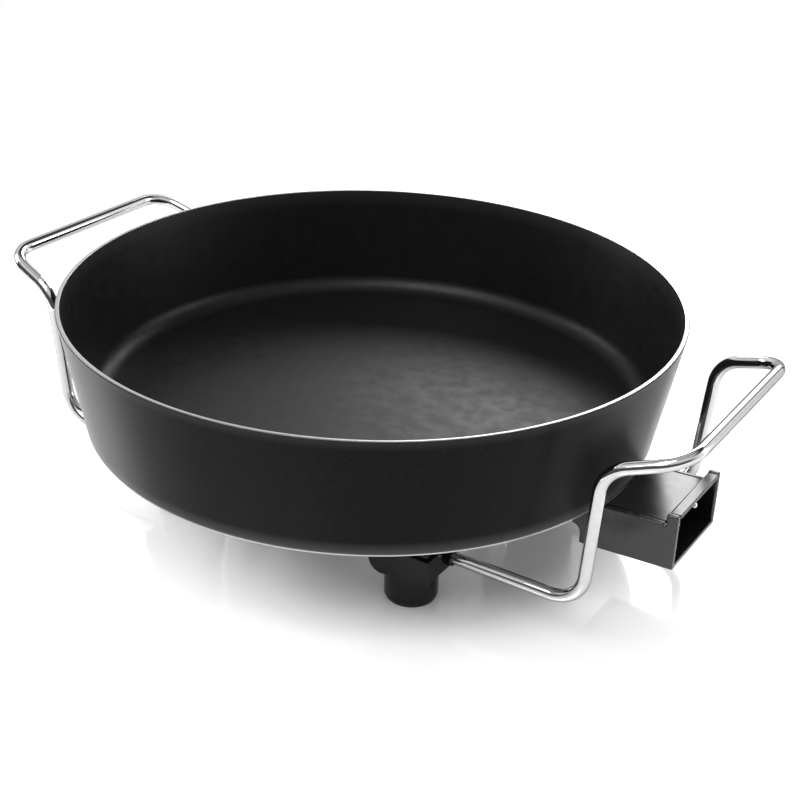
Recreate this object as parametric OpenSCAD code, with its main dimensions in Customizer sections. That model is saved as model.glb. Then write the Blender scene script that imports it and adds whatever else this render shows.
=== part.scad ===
// Electric party pan: coated aluminium pan on four moulded feet, two bent rod handles
// and a socket for a plug-in thermostat. Millimetres, +Z up.
// Origin: on the pan axis, on the table. +X points at the socket.

/* [Pan] */
// Outside diameter of the rim
rim_d = 360; // [330:1:390]
// Diameter where the wall line meets the base plane
base_d = 334; // [318:1:350]
// Outside height of the pan, base to rim
pan_h = 72.6; // [60:0.2:90]
// Height of the base above the table
base_z = 59.4; // [56:0.2:68]
// Wall thickness
wall_t = 2.7; // [2:0.1:4]
// Base thickness
base_t = 5; // [4:0.1:8]
// Outside radius of the base edge
edge_r = 4; // [2:0.1:8]
// Inside radius between floor and wall
floor_r = 12; // [6:0.5:20]

/* [Heating element] */
// Diameter of the element sheath
sheath_d = 8; // [6:0.1:9]
// Drop of the element axis below the base
sheath_drop = 5.4; // [5:0.1:7]
// Half distance between the two straight legs
leg_gap = 12; // [11:0.1:14]
// Centre line radius of the bend from ring to leg
turn_r = 18; // [14:0.5:24]
// Width of the cast rib that holds the ring
rib_w = 14; // [12:0.5:18]
// Metal left under the element in the rib
rib_cover = 2; // [1:0.1:4]
// Rib ends short of the element's bends, degrees
rib_back = 2; // [1:0.5:6]
// Gap between the rib and the foot necks
rib_gap = 3; // [2:0.1:6]
// Diameter of a terminal pin
pin_d = 4.2; // [3.8:0.1:5]
// Diameter of the pin's stem in seal and sheath
stem_d = 2.6; // [2:0.1:3]
// Terminal seal smaller than the sheath, on the diameter
seal_set = 0.4; // [0.2:0.1:1]
// Length of a terminal seal
seal_l = 6; // [4:0.1:9]
// Outside diameter of the probe tube
probe_d = 7; // [6:0.1:8]
// Bore of the probe tube
probe_bore = 5.4; // [4.4:0.1:5.8]

/* [Handles] */
// Rod diameter
rod_d = 7; // [6:0.1:8.4]
// Centre line radius of every bend
bend_r = 19; // [13:0.5:21]
// Gap from the base edge to the riser at its foot
riser_gap = 11; // [9:0.5:18]
// Shoulder bend outside the rim
shoulder_out = 3.6; // [0:0.1:12]
// Shoulder bend below the rim
shoulder_drop = 21.8; // [16:0.1:28]
// Shoulder bend wider than the under leg, each side
shoulder_flare = 3; // [0:0.1:8]
// Grip further out than the shoulder
grip_out = 40; // [36:0.2:60]
// Grip higher than the shoulder
grip_rise = 13.6; // [6:0.2:20]
// Grip narrower than the shoulder, each side
grip_taper = 6.7; // [0:0.1:12]

/* [Feet] */
// Foot axis from the pan axis, along X
foot_x = 81; // [74:0.5:92]
// Foot axis from the pan axis, along Y
foot_y = 80; // [74:0.5:92]
// Foot diameter
foot_d = 30; // [28:0.2:36]
// Rounding at the foot's lower rim
foot_r = 1.5; // [1:0.1:2]
// Rubber pad below the foot
pad_t = 1.4; // [1:0.1:3]
// Pad set back from the foot's side
pad_set = 1; // [0.5:0.1:2]
// Depth of the pad's plug in the foot cup
plug_l = 5; // [3:0.1:6]
// Wall of the foot cup
foot_wall = 2.6; // [2:0.1:2.8]
// Depth of the cup under the foot
cup_h = 14; // [11:0.5:16]
// Length of the rod block, along X
block_l = 38; // [36:0.5:46]
// Lowest edge of the rod block
block_z = 17; // [16.5:0.5:20]
// Height of the rod block
block_h = 17.5; // [16.5:0.5:20]
// Rise of the block's underside towards the rod
block_rise = 3.5; // [0.5:0.5:4.5]
// Rounding of the block's inner lower edge
block_r = 8.5; // [4:0.5:11]
// Rod axis below the block top
rod_drop = 7.2; // [6.5:0.1:8]
// Set back of the neck from the block faces
neck_set = 2; // [1:0.1:4]
// Rod axis inside the foot axis, along Y
rod_in = 8; // [7.5:0.1:9]
// Collar length where the rod comes out
collar_l = 3; // [2:0.1:6]
// Collar wall round the rod
collar_t = 1.6; // [1:0.1:2.2]

/* [Fixings] */
// Foot screw thread diameter
screw_d = 5; // [4:0.1:5.5]
// Foot screw outside the foot axis, along Y
screw_out = 4; // [3:0.1:5]
// Stud diameter under the pan base
stud_d = 10; // [9.5:0.1:12]
// Stud length
stud_l = 14; // [8:0.5:16]
// Rod and socket screw diameter
small_d = 3.2; // [2.5:0.1:3.6]
// Head diameter as a multiple of the thread diameter
head_ratio = 1.8; // [1.6:0.05:1.9]
// Head height as a multiple of the thread diameter
head_h_ratio = 0.65; // [0.5:0.05:0.7]

/* [Socket] */
// Socket mouth beyond the base edge
sock_out = 42; // [40:0.5:52]
// Socket width
sock_w = 59; // [58:0.5:66]
// Socket height at the mouth frame
sock_h = 32.4; // [32:0.2:38]
// Middle of the mouth below the pins
sock_drop = 1.1; // [0:0.1:2]
// Climb of the socket's floor and cover towards the mouth, in degrees
sock_rake = 3; // [0:0.1:4]
// Wall of the socket shell
sock_t = 2.4; // [1.8:0.1:2.6]
// Side wall of the socket shell
side_t = 3.4; // [2.4:0.1:3.6]
// Length of the raised frame at the mouth
frame_l = 5.6; // [5:0.1:8]
// Underside of the cover above the element legs
cover_lift = 1; // [0.3:0.1:2]
// Thickness of the cover
cover_t = 2.2; // [1.6:0.1:2.4]
// Step from the frame posts down to the cover's front bar
bar_step = 0.5; // [0.3:0.1:1]
// Height of the cover's front bar over the mouth
lip_h = 3.2; // [2.4:0.1:3.6]
// Width of the groove behind the front bar
groove_l = 1.6; // [1:0.1:2]
// Depth of the groove behind the front bar
groove_d = 1.2; // [0.6:0.1:1.5]
// Width of the latch notch in the cover's front bar
notch_w = 12; // [8:0.5:16]
// Pin tips back from the mouth
pin_back = 5; // [3:0.1:8]
// Length of the socket neck under the pan
neck_l = 12; // [10:0.5:14]
// Flare of the neck towards the pan axis
flare_r = 5; // [4:0.5:7]
// Bottom of the flare above the neck's lower edge
flare_z = 6; // [2:0.1:8]
// Length of a socket screw through the shell
clamp_l = 8; // [6:0.5:10]
// Thread depth in the pan base
thread_in = 3; // [2:0.1:3.4]
// Length of a cover boss
boss_l = 8; // [6:0.5:10]
// Outside diameter of a cover boss
boss_d = 6; // [5.6:0.1:6.2]

/* [Fits] */
// Gap between a round piece and its hole, per side
gap = 0.3; // [0.25:0.05:0.4]
// Gap between the socket and the pan wall
wall_gap = 1.5; // [1:0.1:3]

/* [Hidden] */

rim_z = base_z + pan_h;
rim_r = rim_d / 2;
base_r = base_d / 2;
lean = atan((rim_r - base_r) / pan_h);
floor_z = base_z + base_t;
inner_rim_r = rim_r - wall_t / cos(lean);
inner_base_r = inner_rim_r - (rim_z - floor_z) * tan(lean);
cut = 1;

block_x0 = foot_x - block_l / 2;
block_x1 = foot_x + block_l / 2;
block_y0 = foot_y - foot_d / 2;
block_y1 = foot_y + foot_d / 2;
block_top = block_z + block_h;
leg_y = foot_y - rod_in;
rod_z = block_top - rod_drop;
rod_end = block_x0 + block_r;
screw_y = foot_y + screw_out;
rod_hole_d = rod_d + 2 * gap;
collar_d = rod_d + 2 * collar_t;

ring_r = norm([block_x0 + neck_set, block_y0 + neck_set]) - rib_gap - rib_w / 2;
pin_z = base_z - sheath_drop;
seal_d = sheath_d - seal_set;
turn_x = sqrt(pow(ring_r + turn_r, 2) - pow(leg_gap + turn_r, 2));
turn_a = atan2(leg_gap + turn_r, turn_x);
rib_z = pin_z - sheath_d / 2 - gap - rib_cover;

mouth_x = base_r + sock_out;
sock_z0 = pin_z - sock_drop - sock_h / 2;
sock_z1 = pin_z - sock_drop + sock_h / 2;
cover_z0 = pin_z + sheath_d / 2 + cover_lift;
cover_z1 = cover_z0 + cover_t;
bar_x0 = mouth_x - frame_l;
wall_x = base_r + (cover_z1 - base_z) * tan(lean) + wall_gap;
sock_neck_x0 = base_r - neck_l;
sock_x0 = sock_neck_x0 - flare_r;
neck_z0 = sock_z0 - (mouth_x - sock_neck_x0) * tan(sock_rake);
cover_rise = sock_out * tan(sock_rake);
plate_z = cover_z1 + (bar_x0 - base_r) * tan(sock_rake);
bulk_x0 = base_r - sock_t;
bulk_x1 = base_r + 2 * sock_t;
inner_w = sock_w - 2 * side_t;
tunnel_w = 2 * leg_gap + sheath_d + sock_t;
clamp_x = (sock_neck_x0 + bulk_x0) / 2;
clamp_y = (tunnel_w + sock_w) / 4;
small_bore = small_d * head_ratio + 2 * gap;
column_d = small_bore + sock_t;
column_x = bulk_x1 + column_d / 2 - sock_t / 2;
column_y = inner_w / 2 - gap - boss_d / 2;
column_seat = sock_z0 + small_d * head_h_ratio + sock_t / 2;
column_top = cover_z0 - boss_l;
lug_w = probe_d + 2 * gap + 2 * rib_cover;
lug_x0 = ring_r + rib_w / 2;
lug_x1 = sock_x0 - wall_gap;

fn_pan = 96;
fn_rod = 20;
fn_arc = 40;
bead = 0.06;
weld_l = 0.6;

// Profile between two lines that meet at a rounded corner, closed to the axis.
module bowl_profile(corner_r, corner_z, round_r, top_r, top_z) {
    tangent = round_r / tan((90 + lean) / 2);
    union() {
        polygon([[0, corner_z], [corner_r - tangent, corner_z],
            [corner_r + tangent * sin(lean), corner_z + tangent * cos(lean)],
            [top_r, top_z], [0, top_z]]);
        translate([corner_r - tangent, corner_z + round_r])
            circle(r = round_r + bead / 2, $fn = fn_arc);
    }
}

// Straight round bar between two points.
module bar(p, q, d) {
    v = q - p;
    translate(p) rotate([0, acos(v[2] / norm(v)), atan2(v[1], v[0])])
        cylinder(d = d, h = norm(v), $fn = fn_rod);
}

// Round bend at corner b of the path a, b, c.
module bend(a, b, c, r, d) {
    din = (b - a) / norm(b - a);
    dout = (c - b) / norm(c - b);
    turn = acos(din * dout);
    side = (dout - din * cos(turn)) / sin(turn);
    start = b - din * r * tan(turn / 2);
    up = cross(-side, din);
    weld(start, din, d);
    weld(b + dout * r * tan(turn / 2), dout, d);
    translate(start + side * r)
        rotate([atan2(din[2], up[2]), asin(side[2]), atan2(-side[1], -side[0])])
            rotate_extrude(angle = turn, $fn = fn_arc) translate([r, 0]) circle(d = d, $fn = fn_rod);
}

// Distance from a corner to the start of its bend.
function setback(a, b, c, r) =
    r * tan(acos((b - a) * (c - b) / norm(b - a) / norm(c - b)) / 2);

// Round rod along a path of points with equal bends.
module rod_path(pts, r, d) {
    last = len(pts) - 1;
    for (i = [0 : last - 1]) {
        dir = (pts[i + 1] - pts[i]) / norm(pts[i + 1] - pts[i]);
        s0 = i == 0 ? 0 : setback(pts[i - 1], pts[i], pts[i + 1], r);
        s1 = i == last - 1 ? 0 : setback(pts[i], pts[i + 1], pts[i + 2], r);
        bar(pts[i] + dir * s0, pts[i + 1] - dir * s1, d);
    }
    for (i = [1 : last - 1]) bend(pts[i - 1], pts[i], pts[i + 1], r, d);
}

// Ring, hardly proud of the bar, that welds a bend to the next piece.
module weld(p, dir, d) {
    bar(p - dir * weld_l / 2, p + dir * weld_l / 2, d + bead);
}

// Round bar along +X.
module bar_x(x0, x1, y, z, d) {
    translate([x0, y, z]) rotate([0, 90, 0]) cylinder(d = d, h = x1 - x0, $fn = fn_rod);
}

// Block that is centred on the X axis.
module slab(x0, x1, w, z0, z1) {
    translate([x0, -w / 2, z0]) cube([x1 - x0, w, z1 - z0]);
}

// Element sheath: open ring, two reversed bends and two straight legs.
module sheath(d, x_end) {
    rotate([0, 0, turn_a]) translate([0, 0, pin_z])
        rotate_extrude(angle = 360 - 2 * turn_a, $fn = fn_pan) translate([ring_r, 0])
            circle(d = d, $fn = fn_rod);
    for (s = [0, 1]) mirror([0, s, 0]) {
        translate([turn_x, leg_gap + turn_r, pin_z]) rotate([0, 0, 180 + turn_a])
            rotate_extrude(angle = 90 - turn_a, $fn = fn_arc) translate([turn_r, 0])
                circle(d = d, $fn = fn_rod);
        bar_x(turn_x, x_end, leg_gap, pin_z, d);
        weld([turn_x, leg_gap, pin_z], [1, 0, 0], d);
        weld([ring_r * cos(turn_a), ring_r * sin(turn_a), pin_z], [-sin(turn_a), cos(turn_a), 0], d);
    }
}

// Pan head screw standing on its head, head underside at z = 0.
module screw(d, l) {
    translate([0, 0, -d * head_h_ratio]) cylinder(d = d * head_ratio, h = d * head_h_ratio, $fn = fn_rod);
    cylinder(d = d, h = l, $fn = fn_rod);
}

// One copy in each of the four corners.
module corners() {
    for (sx = [0, 1], sy = [0, 1]) mirror([sx, 0, 0]) mirror([0, sy, 0]) children();
}

// One copy on each side of the X axis.
module sides() {
    for (s = [0, 1]) mirror([0, s, 0]) children();
}

module pan_body() color([0.12, 0.12, 0.13]) difference() {
    union() {
        rotate_extrude($fn = fn_pan) difference() {
            bowl_profile(base_r, base_z, edge_r, rim_r, rim_z);
            bowl_profile(inner_base_r, floor_z, floor_r, inner_rim_r + cut * tan(lean), rim_z + cut);
        }
        rotate([0, 0, turn_a + rib_back])
            rotate_extrude(angle = 360 - 2 * turn_a - 2 * rib_back, $fn = fn_pan) difference() {
                translate([ring_r - rib_w / 2, rib_z]) square([rib_w, base_z - rib_z + base_t / 2]);
                translate([ring_r, pin_z]) circle(d = sheath_d + 2 * gap, $fn = fn_rod);
            }
        corners() translate([foot_x, screw_y, base_z - stud_l])
            cylinder(d = stud_d, h = stud_l + base_t / 2, $fn = fn_rod);
        slab(lug_x0, lug_x1, lug_w, rib_z, base_z + base_t / 2);
    }
    corners() translate([foot_x, screw_y, base_z - stud_l - cut])
        cylinder(d = screw_d + 2 * gap, h = stud_l + cut, $fn = fn_rod);
    bar_x(lug_x0 + rib_cover, lug_x1 + cut, 0, pin_z, probe_d + 2 * gap);
    sides() translate([clamp_x, clamp_y, base_z - cut])
        cylinder(d = small_d + 2 * gap, h = cut + thread_in + gap, $fn = fn_rod);
}

module heating_element() color([0.45, 0.43, 0.42]) difference() {
    sheath(sheath_d, bulk_x1);
    sides() bar_x(bulk_x0, bulk_x1 + cut, leg_gap, pin_z, stem_d + 2 * gap);
}

// Terminal pin: stem in the sheath and seal, shoulder on the seal, domed tip near the mouth.
module terminal_pin() {
    bar_x(bulk_x0 + gap, bulk_x1 + seal_l + cut, leg_gap, pin_z, stem_d);
    bar_x(bulk_x1 + seal_l, mouth_x - pin_back - pin_d / 2, leg_gap, pin_z, pin_d);
    translate([mouth_x - pin_back - pin_d / 2, leg_gap, pin_z]) sphere(d = pin_d, $fn = fn_rod);
}

module terminal_pin_left() color([0.8, 0.8, 0.82]) mirror([0, 1, 0]) terminal_pin();

module terminal_pin_right() color([0.8, 0.8, 0.82]) terminal_pin();

// Ceramic bush that closes the end of the sheath round the pin.
module terminal_seal() difference() {
    bar_x(bulk_x1, bulk_x1 + seal_l, leg_gap, pin_z, seal_d);
    bar_x(bulk_x1 - cut, bulk_x1 + seal_l + cut, leg_gap, pin_z, stem_d + 2 * gap);
}

module terminal_seal_left() color([0.9, 0.88, 0.82]) mirror([0, 1, 0]) terminal_seal();

module terminal_seal_right() color([0.9, 0.88, 0.82]) terminal_seal();

module probe_tube() color([0.7, 0.7, 0.72]) difference() {
    bar_x(lug_x0 + rib_cover, bulk_x1 + seal_l, 0, pin_z, probe_d);
    bar_x(lug_x0 + 2 * rib_cover, bulk_x1 + seal_l + cut, 0, pin_z, probe_bore);
}

// Plate with a profile in X and Z that is centred on the X axis.
module profile_slab(pts, w) {
    translate([0, w / 2, 0]) rotate([90, 0, 0]) linear_extrude(height = w) polygon(pts);
}

// Groove across the socket behind the cover's front bar.
module bar_groove() {
    slab(bar_x0 - groove_l, bar_x0, sock_w + 2 * cut, plate_z - groove_d, sock_z1);
}

// Notch in the bulkhead, open at the top, that takes a round piece along X.
module bulk_notch(y, d) {
    bar_x(bulk_x0 - cut, bulk_x1 + cut, y, pin_z, d + 2 * gap);
    translate([bulk_x0 - cut, y - (d + gap) / 2, pin_z])
        cube([bulk_x1 - bulk_x0 + 2 * cut, d + gap, sock_h]);
}

// Socket shell: floor, sides, bulkhead, mouth posts and the flared neck under the pan.
module socket_shell() color([0.08, 0.08, 0.08]) difference() {
    union() {
        difference() {
            union() {
                profile_slab([[sock_neck_x0, neck_z0], [mouth_x, sock_z0], [mouth_x, cover_z1 + cover_rise],
                    [base_r, cover_z1], [sock_neck_x0, cover_z1]], sock_w);
                slab(bar_x0, mouth_x, sock_w, sock_z0, sock_z1);
                slab(sock_x0, sock_neck_x0 + sock_t, sock_w, neck_z0 + flare_z, base_z);
            }
            translate([sock_x0, sock_w, neck_z0 + flare_z]) rotate([90, 0, 0])
                cylinder(r = flare_r, h = 2 * sock_w, $fn = fn_arc);
            translate([0, 0, base_z]) cylinder(r = wall_x, h = sock_h, $fn = fn_pan);
            slab(bulk_x1, mouth_x + cut, inner_w, sock_z0 + sock_t, sock_z1 + cut);
            slab(bulk_x0, mouth_x, inner_w, cover_z0, sock_z1 + cut);
            slab(sock_x0 - cut, bulk_x0, tunnel_w, sock_z0 + sock_t, base_z + cut);
        }
        sides() translate([column_x, column_y, sock_z0])
            cylinder(d = column_d, h = column_top - sock_z0, $fn = fn_rod);
    }
    bar_groove();
    sides() bulk_notch(leg_gap, sheath_d);
    bulk_notch(0, probe_d);
    sides() translate([clamp_x, clamp_y, neck_z0 - cut]) {
        cylinder(d = small_d + 2 * gap, h = sock_h, $fn = fn_rod);
        cylinder(d = small_bore, h = base_z - clamp_l - neck_z0 + cut, $fn = fn_rod);
    }
    sides() translate([column_x, column_y, neck_z0 - cut]) {
        cylinder(d = small_d + 2 * gap, h = sock_h, $fn = fn_rod);
        cylinder(d = small_bore, h = column_seat - neck_z0 + cut, $fn = fn_rod);
    }
}

// Socket cover: inlaid plate round the pan wall, hollow front bar and two screw bosses.
module socket_cover() color([0.06, 0.06, 0.06]) difference() {
    cover_w = inner_w - 2 * gap;
    bar_top = sock_z1 - bar_step;
    union() {
        profile_slab([[base_r, cover_z0], [mouth_x, cover_z0], [mouth_x, cover_z1 + cover_rise],
            [base_r, cover_z1]], cover_w);
        slab(bar_x0, mouth_x, cover_w, cover_z0, bar_top);
        sides() translate([column_x, column_y, column_top])
            cylinder(d = boss_d, h = boss_l + cover_t / 2, $fn = fn_rod);
    }
    translate([0, 0, base_z]) cylinder(r = wall_x, h = sock_h, $fn = fn_pan);
    bar_groove();
    slab(bar_x0 + cover_t, mouth_x + cut, cover_w + cut, cover_z0 - cut, bar_top - lip_h);
    translate([bar_x0 - cut, cover_w / 2 - notch_w, plate_z])
        cube([frame_l - cover_t + cut, notch_w + cut, sock_h]);
    sides() translate([column_x, column_y, column_top - cut])
        cylinder(d = small_d + 2 * gap, h = boss_l + cover_t / 2 + cut, $fn = fn_rod);
}

module socket_screws() color([0.6, 0.6, 0.6]) sides()
    translate([clamp_x, clamp_y, base_z - clamp_l]) screw(small_d, clamp_l + thread_in);

module cover_screws() color([0.6, 0.6, 0.6]) sides()
    translate([column_x, column_y, column_seat]) screw(small_d, cover_z0 - column_seat);

// Foot in the corner where X and Y are both positive.
module foot() color([0.07, 0.07, 0.07]) difference() {
    union() {
        translate([0, block_y1, 0]) rotate([90, 0, 0]) linear_extrude(height = foot_d) {
            polygon([[block_x0 + block_r, block_z], [block_x1, block_z + block_rise],
                [block_x1, block_top], [block_x0, block_top], [block_x0, block_z + block_r]]);
            translate([block_x0 + block_r, block_z + block_r]) circle(r = block_r, $fn = fn_arc);
        }
        translate([block_x0 + neck_set, block_y0 + neck_set, block_top - cut])
            cube([block_l - 2 * neck_set, foot_d - 2 * neck_set, base_z - block_top + cut]);
        translate([foot_x, foot_y, pad_t]) rotate_extrude($fn = fn_arc) {
            square([foot_d / 2 - foot_r, foot_r]);
            translate([0, foot_r]) square([foot_d / 2, block_top - cut - pad_t - foot_r]);
            translate([foot_d / 2 - foot_r, foot_r]) intersection() {
                circle(r = foot_r, $fn = fn_arc);
                translate([0, -foot_r]) square(2 * foot_r);
            }
        }
        bar_x(block_x1 - cut, block_x1 + collar_l, leg_y, rod_z, collar_d);
    }
    translate([foot_x, foot_y, -cut])
        cylinder(d = foot_d - 2 * foot_wall, h = cup_h + cut, $fn = fn_arc);
    bar_x(rod_end - gap, block_x1 + collar_l + cut, leg_y, rod_z, rod_hole_d);
    translate([foot_x, screw_y, cup_h - cut])
        cylinder(d = screw_d + 2 * gap, h = base_z - cup_h, $fn = fn_rod);
    translate([foot_x, screw_y, base_z - stud_l - gap])
        cylinder(d = stud_d + 2 * gap, h = stud_l + gap + cut, $fn = fn_rod);
    translate([foot_x, leg_y, cup_h - cut])
        cylinder(d = small_d + 2 * gap, h = rod_z - cup_h + cut, $fn = fn_rod);
}

module foot_front_right() mirror([0, 1, 0]) foot();

module foot_rear_right() foot();

module foot_front_left() mirror([1, 0, 0]) mirror([0, 1, 0]) foot();

module foot_rear_left() mirror([1, 0, 0]) foot();

module foot_screws() color([0.6, 0.6, 0.6]) corners()
    translate([foot_x, screw_y, cup_h]) screw(screw_d, base_z - cup_h - gap);

// Handle on the +X side: leg, riser, arm, grip and back again.
module handle() color([0.85, 0.85, 0.87]) difference() {
    shoulder = [rim_r + shoulder_out, leg_y + shoulder_flare, rim_z - shoulder_drop];
    grip = shoulder + [grip_out, -grip_taper, grip_rise];
    half = [[rod_end, leg_y, rod_z], [base_r + riser_gap, leg_y, rod_z], shoulder, grip];
    rod_path(concat(half, [for (i = [3 : -1 : 0]) [half[i][0], -half[i][1], half[i][2]]]), bend_r, rod_d);
    sides() translate([foot_x, leg_y, rod_z - rod_d])
        cylinder(d = small_d + 2 * gap, h = rod_d + gap, $fn = fn_rod);
}

module foot_pads() color([0.15, 0.15, 0.15]) corners() translate([foot_x, foot_y, 0]) {
    cylinder(d = foot_d - 2 * pad_set, h = pad_t, $fn = fn_arc);
    cylinder(d = foot_d - 2 * foot_wall - 2 * gap, h = pad_t + plug_l, $fn = fn_arc);
}

module handle_right() handle();

module handle_left() mirror([1, 0, 0]) handle();

module rod_screws() color([0.6, 0.6, 0.6]) corners()
    translate([foot_x, leg_y, cup_h]) screw(small_d, rod_z - cup_h);

pan_body();
heating_element();
terminal_pin_left();
terminal_pin_right();
terminal_seal_left();
terminal_seal_right();
probe_tube();
socket_shell();
socket_cover();
socket_screws();
cover_screws();
foot_front_right();
foot_rear_right();
foot_front_left();
foot_rear_left();
foot_screws();
foot_pads();
handle_right();
handle_left();
rod_screws();
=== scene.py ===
# %% [markdown]
# # An electric party pan
#
# A wide coated aluminium pan stands on four moulded feet. Two chrome rod handles are clamped in
# the feet, and a socket on the +X side takes a plug-in thermostat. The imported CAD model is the
# frame: it gives every size and place. This lesson dresses it piece by piece with surfaces that
# are worked out as whole arrays, and with finishes that are built from nodes.

# %% Load the frame
import math

import bpy
import numpy as np
from mathutils import Matrix, Vector
from mathutils.geometry import tessellate_polygon


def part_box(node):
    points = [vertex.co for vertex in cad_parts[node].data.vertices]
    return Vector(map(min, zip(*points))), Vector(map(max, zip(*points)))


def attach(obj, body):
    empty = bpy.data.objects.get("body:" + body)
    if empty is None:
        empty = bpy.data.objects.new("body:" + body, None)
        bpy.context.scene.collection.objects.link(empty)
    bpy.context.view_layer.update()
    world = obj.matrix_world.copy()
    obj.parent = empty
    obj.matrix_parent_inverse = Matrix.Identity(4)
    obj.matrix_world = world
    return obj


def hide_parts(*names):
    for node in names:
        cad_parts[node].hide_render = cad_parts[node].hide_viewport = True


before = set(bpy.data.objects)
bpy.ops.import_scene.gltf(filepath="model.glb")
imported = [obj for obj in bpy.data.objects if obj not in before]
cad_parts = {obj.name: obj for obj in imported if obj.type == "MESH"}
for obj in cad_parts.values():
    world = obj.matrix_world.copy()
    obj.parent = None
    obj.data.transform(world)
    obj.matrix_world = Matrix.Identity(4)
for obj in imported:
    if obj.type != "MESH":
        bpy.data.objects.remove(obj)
scene = bpy.context.scene
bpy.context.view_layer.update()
print("CAD nodes:", len(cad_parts))

# %% [markdown]
# ## Camera
#
# The camera comes first, because every later look is judged through it. It could be placed by
# eye, but a view is a position, a direction, a roll and a lens, and these can be worked out from
# the ellipse of the rim and the places of the handles. Here the result is written down: the
# camera stands in front and to the right, looks down by 27 degrees and is rolled by two.

# %% Camera
FOCAL_PIXELS = 1432.0
FRAME_PIXELS = 800.0
SENSOR_MM = 36.0
CAMERA_PLACE = np.array([0.4165, -0.6393, 0.4540])
LOOK = np.array([-0.4687, 0.7559, -0.4569])
ROLL = math.radians(2.0)

ahead = LOOK / np.linalg.norm(LOOK)
level = np.cross(ahead, [0, 0, 1])
level /= np.linalg.norm(level)
right = math.cos(ROLL) * level + math.sin(ROLL) * np.cross(level, ahead)
up = np.cross(right, ahead)

camera_data = bpy.data.cameras.new("camera")
camera_data.sensor_width = SENSOR_MM
camera_data.lens = SENSOR_MM * FOCAL_PIXELS / FRAME_PIXELS
camera_data.clip_start = 0.01
camera = bpy.data.objects.new("camera", camera_data)
scene.collection.objects.link(camera)
turn = Matrix(np.column_stack([right, up, -ahead]).tolist()).to_4x4()
camera.matrix_world = Matrix.Translation(CAMERA_PLACE) @ turn
scene.camera = camera
print("camera lens:", round(camera_data.lens, 2), "mm")

# %% [markdown]
# ## Sizes
#
# The frame holds the sizes as meshes, and the surfaces below need them as numbers, in
# millimetres as on the drawing. The sizes that several pieces share are written here once. The
# boxes of the CAD nodes are a quick way to see that the numbers and the frame agree.

# %% Sizes
MM = 0.001
BASE_Z, RIM_Z, BASE_R, RIM_R, STUD_Z = 59.4, 132.0, 167.0, 180.0, 45.4
PIN_Z, LEG_GAP = 54.0, 12.0
ROD_Z, LEG_Y = 27.3, 72.0
FOOT_X, FOOT_Y, FOOT_R = 81.0, 80.0, 15.0
FLARE_X, BULK_X0, BULK_X1, MOUTH_X = 150.0, 164.6, 171.8, 209.0
NECK_Z, SOCK_Z1, SIDE_Y1 = 33.87, 69.1, 29.5


def off_by(node, low, high):
    """Largest distance between a CAD node's box and the corners expected here, in millimetres."""
    found = np.array([list(c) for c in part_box(node)]) / MM
    return round(float(np.abs(found - np.array([low, high])).max()), 2)


print("pan is off by",
      off_by("pan_body", (-RIM_R, -RIM_R, STUD_Z), (RIM_R, RIM_R, RIM_Z)), "mm")
print("socket is off by",
      off_by("socket_shell", (FLARE_X, -SIDE_Y1, NECK_Z), (MOUTH_X, SIDE_Y1, SOCK_Z1)), "mm")

# %% [markdown]
# ## From arrays to surfaces
#
# A bevelled box could be modelled by hand with edge loops, and a rod with a curve object. Both
# are worked out here as grids of points instead: one index runs along the shape and one runs
# round it. Neighbouring grid points make the quads, so a whole piece is a few array lines, and
# its smoothness is one number. A shell below is such a pair: an array of points, and a list of
# arrays of faces.

# %% Helper: a path with round corners
TINY, SAME_POINT = 1e-9, 1e-6


def rounded(corners, radii, steps=12, closed=True):
    """Path whose corners are arcs.

    Where two legs turn by t, the arc of radius r starts r tan(t / 2) before the corner. A point
    on it is start + r (sin a * first direction + (1 - cos a) * inward direction), a from 0 to t.
    """
    p = np.asarray(corners, float)
    r = np.broadcast_to(np.asarray(radii, float), (len(p),)).copy()
    before, after = np.roll(p, 1, 0), np.roll(p, -1, 0)
    if not closed:
        r[[0, -1]] = 0
        before[0], after[-1] = 2 * p[0] - p[1], 2 * p[-1] - p[-2]
    first = (p - before) / np.linalg.norm(p - before, axis=1, keepdims=True)
    second = (after - p) / np.linalg.norm(after - p, axis=1, keepdims=True)
    t = np.arccos(np.clip((first * second).sum(1), -1, 1))
    inward = second - first * np.cos(t)[:, None]
    inward /= np.maximum(np.linalg.norm(inward, axis=1, keepdims=True), TINY)
    start = p - first * (r * np.tan(t / 2))[:, None]
    a = np.linspace(0, 1, steps)[None, :, None] * t[:, None, None]
    bow = np.sin(a) * first[:, None] + (1 - np.cos(a)) * inward[:, None]
    path = (start[:, None] + r[:, None, None] * bow).reshape(-1, p.shape[1])
    return path[np.r_[True, np.linalg.norm(np.diff(path, axis=0), axis=1) > SAME_POINT]]


print("a rounded square has", len(rounded([[0, 0], [1, 0], [1, 1], [0, 1]], 0.2)), "points")

# %% Helpers: skins, turned shapes and tubes
def skin(grid, caps=True):
    """Quads between neighbouring stations of a grid, and end caps.

    The grid closes round its second index.
    """
    stations, around = grid.shape[:2]
    index = np.arange(stations * around).reshape(stations, around)
    a, b = index[:-1], index[1:]
    quads = np.stack([a, np.roll(a, -1, 1), np.roll(b, -1, 1), b], -1).reshape(-1, 4)
    return grid.reshape(-1, 3), [quads, index[:1, ::-1], index[-1:]] if caps else [quads]


def turned(profile, around=96):
    """Surface of revolution about Z: (r, z) goes to (r cos t, r sin t, z)."""
    r, z = np.asarray(profile, float).T
    t = np.linspace(0, 2 * np.pi, around, endpoint=False)
    height = np.outer(z, np.ones(around))
    return skin(np.stack([np.outer(r, np.cos(t)), np.outer(r, np.sin(t)), height], -1))


def barrel(core, radius, low, high, edges=(0, 0), steps=6, around=40):
    """Turned solid with one edge radius for each end; caps of the core's radius close it."""
    corners = [[core, low], [radius, low], [radius, high], [core, high]]
    return turned(rounded(corners, [0, *edges, 0], steps, closed=False), around)


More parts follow.
